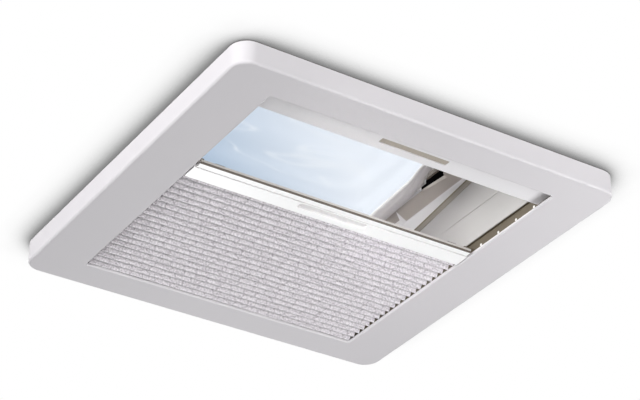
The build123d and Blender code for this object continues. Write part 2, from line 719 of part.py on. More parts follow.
# Pivot brackets of the bail: a foot on the curb's lip and an upright with detent teeth at its end
foot_near = bail_pivot_y - bracket_length / 2
foot_far = bail_pivot_y + bracket_length / 2
tail_end = bail_pivot_y + bracket_tail
tail_low = curb_top + bracket_tail_low
tail_top = tail_low + bracket_tail_height
teeth = []
for step in range(bracket_teeth):
    level = tail_low + bracket_tail_height * step / bracket_teeth
    teeth += [(tail_end - step * bracket_tooth, level),
              (tail_end - step * bracket_tooth, level + bracket_tail_height / bracket_teeth)]
for side, name in ((-1, "left"), (1, "right")):
    with BuildPart() as pivot_bracket:
        with BuildSketch(Plane.YZ.offset(side * (bracket_inner + bracket_wall / 2))):
            outline((foot_near, curb_top), (foot_far, curb_top), (foot_far, tail_low), *teeth,
                    (foot_near, tail_top))
            with Locations((bail_pivot_y, bail_pivot_z)):
                Circle(eye_radius)
                Circle(pivot_pin + pin_gap, mode=Mode.SUBTRACT)
        extrude(amount=bracket_wall / 2, both=True)
        with BuildSketch(Plane.XY.offset(curb_top)):
            with Locations((side * (bracket_inner + dome_seal_inner - soft_gap) / 2, bail_pivot_y)):
                Rectangle(dome_seal_inner - soft_gap - bracket_inner, bracket_length)
        extrude(amount=bracket_foot)
    pivot_bracket.part.label = f"pivot_bracket_{name}"
    export_step(pivot_bracket.part, f"parts/pivot_bracket_{name}.step")

foot_screw_x = (bracket_outer + dome_seal_inner) / 2
with BuildPart() as pivot_bracket_screws:
    with BuildSketch(Plane.XY.offset(curb_top + bracket_foot)):
        with Locations(*[(side * foot_screw_x, bail_pivot_y + along) for side in (-1, 1)
                         for along in (-bracket_length / 3, bracket_length / 3)]):
            Circle((dome_seal_inner - bracket_outer) / 2 - foot_screw_margin)
    extrude(amount=hinge_screw_height)
pivot_bracket_screws.part.label = "pivot_bracket_screws"
export_step(pivot_bracket_screws.part, "parts/pivot_bracket_screws.step")

# Bail rests: small shelves on the curb's front wall under the bail's crossbar
front_wall = neck_inner / 2
rest_z = crossbar_z - tube_radius - soft_gap
for side, name in ((-1, "left"), (1, "right")):
    with BuildPart() as bail_rest:
        with BuildSketch(Plane.YZ.offset(side * rest_x)):
            outline((slider_y - rest_reach, rest_z), (front_wall, rest_z), (front_wall, rest_z - rest_drop),
                    (front_wall - rest_wall, rest_z - rest_drop),
                    (front_wall - 2 * rest_wall, rest_z - rest_wall),
                    (slider_y - rest_reach, rest_z - rest_wall))
        extrude(amount=rest_width / 2, both=True)
    bail_rest.part.label = f"bail_rest_{name}"
    export_step(bail_rest.part, f"parts/bail_rest_{name}.step")

# Bail: crossbar and two arms in one bent tube, tapered necks up to flat eyes, lugs for the slide shoes
arm_end_z = curb_top + arm_end_rise
arm_slope = (arm_end_z - crossbar_z) / (slider_y - arm_end_y)
neck_rise = bail_pivot_z - arm_end_z
neck_run = arm_end_y - neck_end_y
neck_stations = [(0, 0, tube_radius, arm_slope), (0.35, 0.26, (3 * tube_radius + neck_radius) / 4, 0.4),
                 (0.7, 0.78, (tube_radius + 2 * neck_radius) / 3, 0.4), (1, 1, neck_radius, 0)]
with BuildPart() as bail_bar:
    with BuildLine() as tube_line:
        FilletPolyline((-arm_x, arm_end_y, arm_end_z), (-arm_x, slider_y, crossbar_z),
                       (arm_x, slider_y, crossbar_z), (arm_x, arm_end_y, arm_end_z), radius=tube_bend)
    with BuildSketch(Plane(tube_line.wire() @ 0, z_dir=tube_line.wire() % 0)):
        Circle(tube_radius)
    sweep()
    for side in (-1, 1):
        for along, rise, radius, slope in neck_stations:
            station = (side * arm_x, arm_end_y - neck_run * along, arm_end_z + neck_rise * rise)
            with BuildSketch(Plane(station, x_dir=(1, 0, 0), z_dir=(0, -1, slope))):
                Circle(radius)
        loft()
        with BuildSketch(Plane.YZ.offset(side * arm_x)):
            with Locations((bail_pivot_y, bail_pivot_z)):
                Circle(eye_radius)
            outline((bail_pivot_y, bail_pivot_z - eye_radius), (bail_pivot_y, bail_pivot_z + eye_radius),
                    (neck_end_y + neck_radius, bail_pivot_z + neck_radius - overcut),
                    (neck_end_y + neck_radius, bail_pivot_z - neck_radius + overcut))
        extrude(amount=eye_width / 2, both=True)
        with BuildSketch(Plane.YZ.offset(side * arm_x)):
            with Locations((bail_pivot_y, bail_pivot_z)):
                Circle(pivot_pin)
        extrude(amount=eye_width, both=True, mode=Mode.SUBTRACT)
        with BuildSketch(Plane.YZ.offset(side * (guide_inner - side_gap - lug_width / 2))):
            with Locations((slider_y, slider_z)):
                Circle(lug_radius)
            outline((slider_y - lug_radius, slider_z), (slider_y + lug_radius, slider_z),
                    (slider_y, crossbar_z), (slider_y - 3 * tube_radius, crossbar_z),
                    (slider_y - 3 * tube_radius, crossbar_z + lug_root))
        extrude(amount=lug_width / 2, both=True)
        with BuildSketch(Plane.YZ.offset(side * (guide_inner - side_gap))):
            with Locations((slider_y, slider_z)):
                Circle(slider_pin)
        extrude(amount=side * (side_gap + guide_wall + slider_pin_stand))
bail_bar.part.label = "bail_bar"
export_step(bail_bar.part, "parts/bail_bar.step")

with BuildPart() as bail_pivot_pins:
    for side in (-1, 1):
        with BuildSketch(Plane.YZ.offset(side * (arm_x - eye_width / 2))):
            with Locations((bail_pivot_y, bail_pivot_z)):
                Circle(pivot_pin)
        extrude(amount=side * (bracket_outer - arm_x + eye_width / 2))
bail_pivot_pins.part.label = "bail_pivot_pins"
export_step(bail_pivot_pins.part, "parts/bail_pivot_pins.step")

with BuildPart() as slide_shoes:
    for side in (-1, 1):
        with BuildSketch(Plane.YZ.offset(side * (guide_inner + shoe_gap))):
            with Locations((slider_y, slider_z)):
                Circle(shoe_radius)
                Circle(slider_pin, mode=Mode.SUBTRACT)
        extrude(amount=side * (guide_wall - 2 * shoe_gap))
slide_shoes.part.label = "slide_shoes"
export_step(slide_shoes.part, "parts/slide_shoes.step")

# Grip: moulded sleeve round the crossbar with a pocket for the release button
grip_floor = crossbar_z - grip_low
room_low = grip_floor + button_wall
room_high = room_low + button_room
with BuildPart() as bail_grip:
    with BuildSketch(Plane.YZ):
        with Locations((slider_y, grip_floor)):
            RectangleRounded(grip_y, grip_low + grip_high, grip_corner, align=(Align.CENTER, Align.MIN))
        with Locations((slider_y, crossbar_z)):
            Circle(tube_radius, mode=Mode.SUBTRACT)
    extrude(amount=grip_x / 2, both=True)
    with BuildSketch(Plane.XY.offset(grip_floor)):
        with Locations((0, slider_y)):
            RectangleRounded(button_x + 2 * shoe_gap, button_y + 2 * shoe_gap, button_corner)
    extrude(amount=button_wall, mode=Mode.SUBTRACT)
    with BuildSketch(Plane.XY.offset(room_low)):
        with Locations((0, slider_y)):
            RectangleRounded(button_x + 2 * (button_lip + shoe_gap), button_y + 2 * (button_lip + shoe_gap),
                             button_corner)
    extrude(amount=button_room, mode=Mode.SUBTRACT)
bail_grip.part.label = "bail_grip"
export_step(bail_grip.part, "parts/bail_grip.step")

with BuildPart() as latch_button:
    with BuildSketch(Plane.XY.offset(grip_floor - button_stand)):
        with Locations((0, slider_y)):
            RectangleRounded(button_x, button_y, button_corner)
    extrude(amount=button_stand + button_wall + shoe_gap)
    fillet(latch_button.faces().sort_by(Axis.Z)[0].edges(), button_edge)
    with BuildSketch(Plane.XY.offset(room_low + shoe_gap)):
        with Locations((0, slider_y)):
            RectangleRounded(button_x + 2 * button_lip, button_y + 2 * button_lip, button_corner)
    extrude(amount=button_lip_height)
latch_button.part.label = "latch_button"
export_step(latch_button.part, "parts/latch_button.step")

spring_low = room_low + shoe_gap + button_lip_height + spring_wire + pin_gap
spring_height = room_high - pin_gap - spring_wire - spring_low
with BuildPart() as latch_spring:
    with BuildLine(Plane((0, slider_y, spring_low))) as coil:
        Helix(pitch=spring_height / spring_turns, height=spring_height, radius=spring_radius)
    with BuildSketch(Plane(coil.wire() @ 0, z_dir=coil.wire() % 0)):
        Circle(spring_wire)
    sweep(is_frenet=True)
latch_spring.part.label = "latch_spring"
export_step(latch_spring.part, "parts/latch_spring.step")

# Blind rails: olive side walls with a groove for each blind's shoes
peg_span = 2 * (rail_half_length - peg_inset)
peg_places = [(peg_inset - rail_half_length + peg_pitch * i, bezel_plate + peg_rise)
              for i in range(int(peg_span / peg_pitch) + 1)]
low_level = (low_groove_z, low_groove_z + rail_groove_height)
high_level = (high_groove_z, high_groove_z + rail_groove_height)
for side, name in ((-1, "left"), (1, "right")):
    with BuildPart() as blind_rail:
        with BuildSketch(Plane.XZ):
            outline((side * rail_x, bezel_plate), (side * rail_x, rail_top),
                    (side * (rail_x + rail_wall), rail_top),
                    (side * (rail_x + rail_wall), bezel_plate + rail_foot_height),
                    (side * (rail_x + rail_foot), bezel_plate + rail_foot_height),
                    (side * (rail_x + rail_foot), bezel_plate))
            for low, high in (low_level, high_level):
                with Locations((side * rail_x, (low + high) / 2)):
                    Rectangle(2 * rail_groove_depth, high - low, mode=Mode.SUBTRACT)
        extrude(amount=rail_half_length, both=True)
        with BuildSketch(Plane.YZ.offset(side * rail_x)):
            with Locations(*peg_places):
                Circle(peg_radius)
        extrude(amount=side * rail_wall, mode=Mode.SUBTRACT)
    blind_rail.part.label = f"blind_rail_{name}"
    export_step(blind_rail.part, f"parts/blind_rail_{name}.step")

with BuildPart() as rail_pegs:
    for side in (-1, 1):
        with BuildSketch(Plane.YZ.offset(side * (rail_x - peg_stand))):
            with Locations(*peg_places):
                Circle(peg_radius)
        extrude(amount=side * (rail_wall + peg_stand))
rail_pegs.part.label = "rail_pegs"
export_step(rail_pegs.part, "parts/rail_pegs.step")

# Cassettes: channels that open towards the blinds
far_mouth = opening_far + cassette_lead
near_mouth = opening_near - cassette_lead
for side, start, name in ((1, far_mouth, "blackout_cassette"), (-1, near_mouth, "flyscreen_cassette")):
    end = start + side * cassette_depth
    with BuildPart() as cassette:
        with BuildSketch(Plane.YZ):
            outline((start, bezel_plate), (end, bezel_plate), (end, cassette_top), (start, cassette_top),
                    (start, cassette_top - cassette_wall),
                    (end - side * cassette_wall, cassette_top - cassette_wall),
                    (end - side * cassette_wall, bezel_plate + cassette_wall),
                    (start, bezel_plate + cassette_wall))
        extrude(amount=cassette_x, both=True)
    cassette.part.label = name
    export_step(cassette.part, f"parts/{name}.step")

track_screw_x = rail_x + rail_foot - track_screw_head - track_screw_margin
track_screw_end = rail_half_length - track_screw_inset
track_screw_places = [(side * track_screw_x, y) for side in (-1, 1)
                      for y in (-track_screw_end, -clip_y / 2, clip_y / 2, track_screw_end)]
with BuildPart() as rail_screws:
    with BuildSketch(Plane.XY.offset(bezel_plate + rail_foot_height)):
        with Locations(*track_screw_places):
            Circle(track_screw_head)
    extrude(amount=track_screw_height)
rail_screws.part.label = "rail_screws"
export_step(rail_screws.part, "parts/rail_screws.step")

# Blackout blind: pull bar with a grip recess, edge strip and seal, end shoes, magnets and pleated cloth
bar_half = opening_x / 2 - bar_end_gap
bar_top = blind_floor + bar_wall
bar_clamp_top = bar_top + bar_clamp_height
with BuildPart() as blackout_bar:
    with BuildSketch(Plane.YZ):
        outline((bar_near, blind_floor), (bar_far, blind_floor), (bar_far, bar_clamp_top),
                (bar_far - bar_clamp_width, bar_clamp_top), (bar_far - bar_clamp_width, bar_top),
                (bar_near, bar_top))
        with Locations((bar_groove_y, blind_floor)):
            Rectangle(bar_groove_width, 2 * bar_groove_depth, mode=Mode.SUBTRACT)
    extrude(amount=bar_half, both=True)
    with BuildSketch(Plane.XY.offset(blind_floor)):
        with Locations((-bar_half, bar_near), (bar_half, bar_near)):
            Rectangle(2 * bar_flange_notch, 2 * (bar_groove_y - bar_near))
    extrude(amount=bar_wall, mode=Mode.SUBTRACT)
    with BuildSketch(Plane.XY.offset(blind_floor)):
        with Locations((0, grip_slot_middle)):
            RectangleRounded(grip_slot_x, grip_slot_y, grip_slot_corner)
    extrude(amount=grip_slot_depth, mode=Mode.SUBTRACT)
blackout_bar.part.label = "blackout_bar"
export_step(blackout_bar.part, "parts/blackout_bar.step")

edge_middle = bar_near - edge_wall / 2
with BuildPart() as blackout_edge_seal:
    with BuildSketch(Plane.XY.offset(blind_floor)):
        with Locations((0, edge_middle)):
            Rectangle(2 * (bar_half - bar_flange_notch), edge_wall)
    extrude(amount=edge_seal_height)
blackout_edge_seal.part.label = "blackout_edge_seal"
export_step(blackout_edge_seal.part, "parts/blackout_edge_seal.step")

with BuildPart() as blackout_edge_strip:
    with BuildSketch(Plane.XY.offset(blind_floor + edge_seal_height)):
        with Locations((0, edge_middle)):
            Rectangle(2 * (bar_half - bar_flange_notch), edge_wall)
    extrude(amount=edge_strip_height)
blackout_edge_strip.part.label = "blackout_edge_strip"
export_step(blackout_edge_strip.part, "parts/blackout_edge_strip.step")

shoe_start = bar_near + bar_shoe_inset
shoe_end = bar_far - bar_clamp_width - bar_shoe_play
tongue_x = rail_x + rail_groove_depth - shoe_gap
with BuildPart() as blackout_shoes:
    for side in (-1, 1):
        with BuildSketch(Plane.XZ.offset(-shoe_start)):
            outline((side * (bar_half - bar_shoe_foot), bar_top), (side * shoe_x, bar_top),
                    (side * shoe_x, low_level[0] + shoe_gap),
                    (side * tongue_x, low_level[0] + shoe_gap), (side * tongue_x, low_level[1] - shoe_gap),
                    (side * shoe_x, low_level[1] - shoe_gap), (side * shoe_x, bar_clamp_top),
                    (side * (bar_half - bar_shoe_foot), bar_clamp_top))
        extrude(amount=-(shoe_end - shoe_start))
blackout_shoes.part.label = "blackout_shoes"
export_step(blackout_shoes.part, "parts/blackout_shoes.step")

with BuildPart() as blackout_magnets:
    with BuildSketch(Plane.XY.offset(bar_top)):
        with Locations((-magnet_place, shoe_start), (magnet_place, shoe_start)):
            Rectangle(magnet_x, magnet_y)
    extrude(amount=magnet_z)
blackout_magnets.part.label = "blackout_magnets"
export_step(blackout_magnets.part, "parts/blackout_magnets.step")

cloth_half = opening_x / 2 - pleat_side_gap
pleat_start = bar_far + soft_gap
pleat_end = opening_far - pleat_lip_gap
pleat_flanks = 2 * round((pleat_end - pleat_start) / pleat_pitch - 0.5) + 1
pack_start = far_mouth + soft_gap
with BuildPart() as blackout_pleats:
    with BuildSketch(Plane.YZ):
        outline(*folds(pleat_start, pleat_end, pleat_low, pleat_height, pleat_flanks, pleat_sheet, 1,
                       pack_start - soft_gap - pleat_end))
    extrude(amount=cloth_half, both=True)
blackout_pleats.part.label = "blackout_pleats"
export_step(blackout_pleats.part, "parts/blackout_pleats.step")

pack_end = pack_start + pack_folds * pack_pitch
pack_low = bezel_plate + cassette_wall + soft_gap
with BuildPart() as blackout_pack:
    with BuildSketch(Plane.YZ):
        outline(*folds(pack_start, pack_end, pack_low, pack_height, 2 * pack_folds, pack_sheet))
    extrude(amount=cloth_half, both=True)
blackout_pack.part.label = "blackout_pack"
export_step(blackout_pack.part, "parts/blackout_pack.step")

# Flyscreen: pull bar with a grip slot, tray behind the slot, end shoes, magnets and folded mesh
screen_half = shoe_x - screen_end_gap
screen_near = opening_near - screen_tuck
screen_far = screen_near + screen_width
screen_slot_middle = screen_far - screen_slot_margin
screen_top = screen_z + screen_wall
with BuildPart() as flyscreen_bar:
    with BuildSketch(Plane.YZ):
        outline((screen_near, screen_z), (screen_far, screen_z), (screen_far, screen_top),
                (screen_near + screen_clamp_width, screen_top),
                (screen_near + screen_clamp_width, screen_top + screen_clamp_height),
                (screen_near, screen_top + screen_clamp_height))
    extrude(amount=screen_half, both=True)
    with BuildSketch(Plane.XY.offset(screen_z)):
        with Locations((screen_slot_shift, screen_slot_middle)):
            RectangleRounded(screen_slot_x, screen_slot_y, screen_slot_corner)
    extrude(amount=screen_wall, mode=Mode.SUBTRACT)
flyscreen_bar.part.label = "flyscreen_bar"
export_step(flyscreen_bar.part, "parts/flyscreen_bar.step")

with BuildPart() as flyscreen_grip_tray:
    with BuildSketch(Plane.XY.offset(screen_top)):
        with Locations((screen_slot_shift, screen_slot_middle)):
            RectangleRounded(screen_slot_x + 2 * screen_tray_rim, screen_slot_y + 2 * screen_tray_rim,
                             screen_tray_rim)
    extrude(amount=screen_tray_wall)
    with BuildSketch(Plane.XY.offset(screen_z + screen_tray_recess)):
        with Locations((screen_slot_shift, screen_slot_middle)):
            RectangleRounded(screen_slot_x - 2 * screen_tray_gap, screen_slot_y - 2 * screen_tray_gap,
                             screen_slot_corner - screen_tray_gap)
    extrude(amount=screen_wall - screen_tray_recess)
flyscreen_grip_tray.part.label = "flyscreen_grip_tray"
export_step(flyscreen_grip_tray.part, "parts/flyscreen_grip_tray.step")

screen_shoe_start = screen_near + screen_clamp_width + screen_shoe_inset
with BuildPart() as flyscreen_shoes:
    for side in (-1, 1):
        with BuildSketch(Plane.XZ.offset(-screen_shoe_start)):
            outline((side * (screen_half - screen_shoe_foot), screen_top), (side * shoe_x, screen_top),
                    (side * shoe_x, high_level[0] + shoe_gap), (side * tongue_x, high_level[0] + shoe_gap),
                    (side * tongue_x, high_level[1] - shoe_gap),
                    (side * (screen_half - screen_shoe_foot), high_level[1] - shoe_gap))
        extrude(amount=-(screen_far - screen_shoe_end - screen_shoe_start))
flyscreen_shoes.part.label = "flyscreen_shoes"
export_step(flyscreen_shoes.part, "parts/flyscreen_shoes.step")

with BuildPart() as flyscreen_magnets:
    with BuildSketch(Plane.XY.offset(screen_top)):
        with Locations(*[(side * magnet_place, screen_far - magnet_inset) for side in (-1, 1)]):
            Rectangle(magnet_x, magnet_y)
    extrude(amount=magnet_z)
flyscreen_magnets.part.label = "flyscreen_magnets"
export_step(flyscreen_magnets.part, "parts/flyscreen_magnets.step")

mesh_end = screen_near - soft_gap
mesh_start = near_mouth - cassette_depth + cassette_wall + soft_gap
mesh_low = screen_z + slide_gap / 2
with BuildPart() as flyscreen_pleats:
    with BuildSketch(Plane.YZ):
        outline(*folds(mesh_start, mesh_end, mesh_low, mesh_height, 2 * mesh_folds, mesh_sheet))
    extrude(amount=cloth_half, both=True)
flyscreen_pleats.part.label = "flyscreen_pleats"
export_step(flyscreen_pleats.part, "parts/flyscreen_pleats.step")
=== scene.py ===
import math

import bmesh
import bpy
from mathutils import Matrix, Vector


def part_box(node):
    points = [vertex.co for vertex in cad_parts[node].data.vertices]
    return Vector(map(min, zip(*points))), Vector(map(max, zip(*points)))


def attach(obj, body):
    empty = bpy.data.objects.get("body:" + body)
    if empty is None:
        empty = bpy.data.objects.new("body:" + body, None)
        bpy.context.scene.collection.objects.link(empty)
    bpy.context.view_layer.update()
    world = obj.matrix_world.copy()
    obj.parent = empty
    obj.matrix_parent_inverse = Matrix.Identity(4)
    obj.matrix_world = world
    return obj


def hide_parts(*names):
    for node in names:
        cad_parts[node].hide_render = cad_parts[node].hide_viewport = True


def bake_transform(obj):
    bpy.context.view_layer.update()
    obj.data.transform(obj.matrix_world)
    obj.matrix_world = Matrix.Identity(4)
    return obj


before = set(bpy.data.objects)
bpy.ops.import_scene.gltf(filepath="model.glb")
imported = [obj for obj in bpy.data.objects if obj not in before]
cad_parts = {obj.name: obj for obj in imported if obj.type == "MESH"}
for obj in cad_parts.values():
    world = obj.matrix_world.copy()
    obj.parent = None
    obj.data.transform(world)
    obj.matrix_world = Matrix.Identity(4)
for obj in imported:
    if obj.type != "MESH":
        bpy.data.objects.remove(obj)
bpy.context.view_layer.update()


# Camera: a long lens below the window, to the left of it and towards the dome's hinge side. Its place
# and its three directions are fitted to the corners of the inner frame and of its opening.
eye = Vector((-1.04841, -1.64633, -1.15797))
right = Vector((0.84193366, -0.53957677, -0.0021504))
up = Vector((-0.28106342, -0.44195493, 0.85186806))
ahead = Vector((0.46059859, 0.716612, 0.52375202))
camera = bpy.data.objects.new("camera", bpy.data.cameras.new("camera"))
camera.data.sensor_width = 36.0
camera.data.lens = 115.49
camera.data.clip_start = 0.05
camera.matrix_world = Matrix.Translation(eye) @ Matrix((right, up, -ahead)).transposed().to_4x4()
bpy.context.scene.collection.objects.link(camera)
bpy.context.scene.camera = camera
bpy.context.scene.view_settings.view_transform = "Standard"


# World: even pale surroundings, faint as a light, so that the lamps shape the frame. What the camera,
# gloss and clear plastic see of them is plain white.
def linear(red, green, blue):
    """Colour as Blender mixes it, from the 0 to 255 values of a screen."""
    parts = [c / 255 for c in (red, green, blue)]
    return tuple(c / 12.92 if c <= 0.04045 else ((c + 0.055) / 1.055) ** 2.4 for c in parts) + (1.0,)


def give(node, **values):
    """Sets a node's inputs by name, with _ for each space."""
    for name, value in values.items():
        node.inputs[name.replace("_", " ")].default_value = value
    return node


def add(tree, kind, operation=None, **values):
    """New node in a tree, with its inputs set by name."""
    node = tree.nodes.new("ShaderNode" + kind)
    if operation:
        node.operation = operation
    return give(node, **values)


def join(tree, *lines):
    """Links nodes. Each line says from which node and output, to which node and input."""
    for source, output, target, entry in lines:
        tree.links.new(source.outputs[output], target.inputs[entry])


white = (1, 1, 1, 1)
world = bpy.data.worlds.new("surroundings")
bpy.context.scene.world = world
world.use_nodes = True
air = world.node_tree
air.nodes.clear()
rays = add(air, "LightPath")
faint = add(air, "Background", Color=linear(244, 247, 250), Strength=0.15)
plain = add(air, "Background", Color=white, Strength=1.0)
direct = add(air, "Math", "MAXIMUM")
seen = add(air, "Math", "MAXIMUM")
shown = add(air, "MixShader")
join(air,
     (rays, "Is Camera Ray", direct, 0),
     (rays, "Is Glossy Ray", direct, 1),
     (direct, 0, seen, 0),
     (rays, "Is Transmission Ray", seen, 1),
     (seen, 0, shown, "Fac"),
     (faint, 0, shown, 1),
     (plain, 0, shown, 2),
     (shown, 0, add(air, "OutputWorld"), "Surface"))


# Lamps: soft boxes below the ceiling for the frame's faces and edges, a narrow one that reaches the
# bail's arm and the curb through the opening, and the daylight above the roof.
def lamp(name, place, target, size, power, spread=180):
    """Square soft box at place that faces target, with its light held to that spread in degrees."""
    light = bpy.data.lights.new(name, "AREA")
    light.size = size
    light.energy = power
    light.spread = math.radians(spread)
    box = bpy.data.objects.new(name, light)
    box.location = place
    box.rotation_euler = (Vector(target) - Vector(place)).to_track_quat("-Z", "Y").to_euler()
    bpy.context.scene.collection.objects.link(box)


frame_middle = (0, 0, 0)
lamp("low_right", (0.52, -0.42, -0.66), (0.05, 0, 0), size=0.6, power=5.1)
lamp("left", (-2.0, -0.35, -0.24), frame_middle, size=0.4, power=27.0)
lamp("front", (-0.2, -2.2, -0.28), frame_middle, size=0.5, power=9.0)
lamp("eye_side", (-1.5, -1.65, -0.88), frame_middle, size=0.6, power=13.0)
lamp("far_side", (0.1, 0.75, -0.5), (0.05, 0.2, 0), size=0.5, power=1.8)
lamp("inside", (-0.585, -0.71, -0.345), (0.189, 0.09, 0.105), size=0.08, power=0.016, spread=10)
lamp("sky", (0.0, 0.2, 1.3), (0, 0, 0.1), size=1.6, power=66.0)


# Stage: a pale ceiling skin with its cut-out, shaded where the frame stands on it, and a pale blue sky
# above the roof, painted lighter towards one side and crossed by streaks of painted highlight, that show
# through the dome. Both show from below only, so they never hide the window.
def placed(name, net, finish):
    """Object in the scene from a mesh in work, with its finish."""
    mesh = bpy.data.meshes.new(name)
    net.to_mesh(mesh)
    net.free()
    mesh.materials.append(finish)
    piece = bpy.data.objects.new(name, mesh)
    bpy.context.scene.collection.objects.link(piece)
    return piece


def level_sheet(name, height, half, finish, hole=0.0):
    """Level square sheet that faces down, with a square hole if it has a half width."""
    net = bmesh.new()
    quarter = Matrix.Rotation(math.radians(45), 4, "Z")
    for size in (half, hole) if hole else (half,):
        bmesh.ops.create_circle(net, cap_ends=not hole, segments=4, radius=size * math.sqrt(2),
                                matrix=Matrix.Translation((0, 0, height)) @ quarter)
    if hole:
        bmesh.ops.bridge_loops(net, edges=net.edges[:])
    net.normal_update()
    bmesh.ops.reverse_faces(net, faces=[face for face in net.faces if face.normal.z > 0])
    return placed(name, net, finish)


def from_below(name, seen_as, lit_as):
    """Finish that shows one shader to the camera and to clear plastic, another to other rays, and is
    clear from above. Both shaders are made by a function that gets the node tree."""
    finish = bpy.data.materials.new(name)
    finish.use_nodes = True
    tree = finish.node_tree
    tree.nodes.clear()
    path = add(tree, "LightPath")
    straight = add(tree, "Math", "MAXIMUM")
    kind = add(tree, "MixShader")
    side = add(tree, "MixShader")
    join(tree,
         (path, "Is Camera Ray", straight, 0),
         (path, "Is Transmission Ray", straight, 1),
         (straight, 0, kind, "Fac"),
         (lit_as(tree), 0, kind, 1),
         (seen_as(tree), 0, kind, 2),
         (add(tree, "NewGeometry"), "Backfacing", side, "Fac"),
         (kind, 0, side, 1),
         (nothing(tree), 0, side, 2),
         (side, 0, add(tree, "OutputMaterial"), "Surface"))
    return finish


def nothing(tree):
    """Fully clear."""
    return add(tree, "BsdfTransparent")


def shaded_white(tree):
    """White that darkens close to the frame, as in the contact shade round it."""
    near = add(tree, "AmbientOcclusion", Distance=0.05)
    near.samples = 16
    curve = add(tree, "MapRange", From_Min=0.45, From_Max=0.98, To_Min=0.22, To_Max=1.0)
    curve.interpolation_type = "SMOOTHSTEP"
    glow = add(tree, "Emission")
    join(tree, (near, "AO", curve, "Value"), (curve, "Result", glow, "Color"))
    return glow


def matt_white(tree):
    """Matt white paint."""
    return add(tree, "BsdfDiffuse", Color=(0.85, 0.85, 0.85, 1))


def ramp(tree, first, last, *between):
    """Colour ramp. Each stop is its place and colour."""
    node = add(tree, "ValToRGB")
    stops = node.color_ramp.elements
    stops[0].position, stops[0].color = first
    stops[1].position, stops[1].color = last
    for spot, colour in between:
        stops.new(spot).color = colour
    return node


def painted_sky_light(tree):
    """Pale blue sky, painted lighter towards one side as painted light, with a few thin curved streaks of
    painted highlight.
    """
    black = (0, 0, 0, 1)
    place = add(tree, "TexCoord")
    turned = add(tree, "Mapping", Rotation=(0, 0, math.radians(45)))
    apart = add(tree, "SeparateXYZ")
    across = add(tree, "MapRange", From_Min=-0.42, From_Max=-0.18)
    # painted light: the sky turns from pale blue to near white across the dome
    blue = add(tree, "MixRGB", Color1=linear(186, 204, 222), Color2=linear(244, 249, 254))
    stretched = add(tree, "Mapping", Rotation=(0, 0, math.radians(24)), Scale=(1.6, 5.0, 1.0))
    # painted highlight: thin curved streaks that stand in for the dome's highlights
    highlight_streaks = add(tree, "TexNoise", Scale=2.6, Detail=1.0, Distortion=0.6)
    crest = ramp(tree, (0.485, black), (0.515, black), (0.50, (0.75, 0.75, 0.75, 1)))
    highlighted = add(tree, "MixRGB", Color2=linear(248, 252, 255))
    glow = add(tree, "Emission")
    join(tree,
         (place, "Object", turned, "Vector"),
         (turned, "Vector", apart, "Vector"),
         (apart, "X", across, "Value"),
         (across, "Result", blue, "Fac"),
         (place, "Object", stretched, "Vector"),
         (stretched, "Vector", highlight_streaks, "Vector"),
         (highlight_streaks, "Fac", crest, "Fac"),
         (crest, "Color", highlighted, "Fac"),
         (blue, "Color", highlighted, "Color1"),
         (highlighted, "Color", glow, "Color"))
    return glow


ceiling_gap, ceiling_half, cutout_half = 0.0004, 2.6, 0.2005
sky_height, sky_half = 0.8, 1.6
ceiling_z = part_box("rim_seal")[1][2]
ceiling = level_sheet("ceiling", ceiling_z + ceiling_gap, ceiling_half,
                      from_below("ceiling_skin", shaded_white, matt_white), cutout_half)
sky = level_sheet("sky", sky_height, sky_half, from_below("sky_painted_light", painted_sky_light, nothing))


# Inner frame: white ABS, injection moulded in one piece with a fine spark-eroded grain. It snaps up
# over the clips of the mounting frame and hides the edge of the cut-out.
def begun(name):
    """New finish with its node tree and its main shader."""
    finish = bpy.data.materials.new(name)
    finish.use_nodes = True
    return finish, finish.node_tree, finish.node_tree.nodes["Principled BSDF"]


def moulded(name, colour, roughness=0.45, grain=0.00002, fine=2600.0, drift=0.03, metallic=0.0, shine=0.5):
    """Moulded or painted finish: a slight drift of tone, and a fine grain in the gloss and the relief."""
    finish, tree, shader = begun(name)
    give(shader, Metallic=metallic, Specular_IOR_Level=shine)
    glossier, duller = 0.05, 0.08
    darker = tuple(c * (1 - drift) for c in colour[:3]) + (1,)
    place = add(tree, "TexCoord")
    cloud = add(tree, "TexNoise", Scale=14.0, Detail=3.0)
    tone = add(tree, "MixRGB", Color1=colour, Color2=darker)
    speck = add(tree, "TexNoise", Scale=fine, Detail=2.0)
    gloss = add(tree, "MapRange", To_Min=roughness - glossier, To_Max=roughness + duller)
    relief = add(tree, "Bump", Strength=0.5, Distance=grain)
    join(tree,
         (place, "Object", cloud, "Vector"),
         (cloud, "Fac", tone, "Fac"),
         (tone, "Color", shader, "Base Color"),
         (place, "Object", speck, "Vector"),
         (speck, "Fac", gloss, "Value"),
         (gloss, "Result", shader, "Roughness"),
         (speck, "Fac", relief, "Height"),
         (relief, "Normal", shader, "Normal"))
    return finish


def dress(finish, *names):
    """Gives a finish to solids that stay as they are."""
    for name in names:
        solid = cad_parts[name]
        solid.data.materials.clear()
        solid.data.materials.append(finish)


dress(moulded("bezel_white", linear(217, 214, 217), 0.58, shine=0.3), "bezel")


# Rim seal, roof seal and dome seal: rings of black closed-cell foam and of EPDM rubber. They are laid
# between the parts that they close and pressed flat in service.
rubber = moulded("rubber_black", linear(9, 9, 10), 0.9, grain=0.00003, fine=900.0, drift=0.2, shine=0.0)
dress(moulded("foam_dark", linear(70, 66, 62), 0.85, grain=0.00008, fine=1500.0), "rim_seal")
dress(rubber, "dome_seal", "roof_seal")


# Mounting frame: grey-white ABS. Its collar lines the cut-out, and screws pull it up to the roof frame.
# A soft olive joint seal lies along the collar's sloping edge, and beside it a grey band of painted shade.
dress(moulded("liner_grey", linear(190, 188, 186), 0.7, shine=0.25), "mounting_frame")
dress(moulded("joint_olive", linear(128, 119, 102), 0.7, grain=0.00005, fine=1200.0), "joint_seal")
# painted shade: a grey strip along the collar's top edge, where shade falls
dress(moulded("edge_band_painted_shade", linear(150, 144, 133), 0.7, grain=0.00005, fine=1200.0), "liner_edge_band")
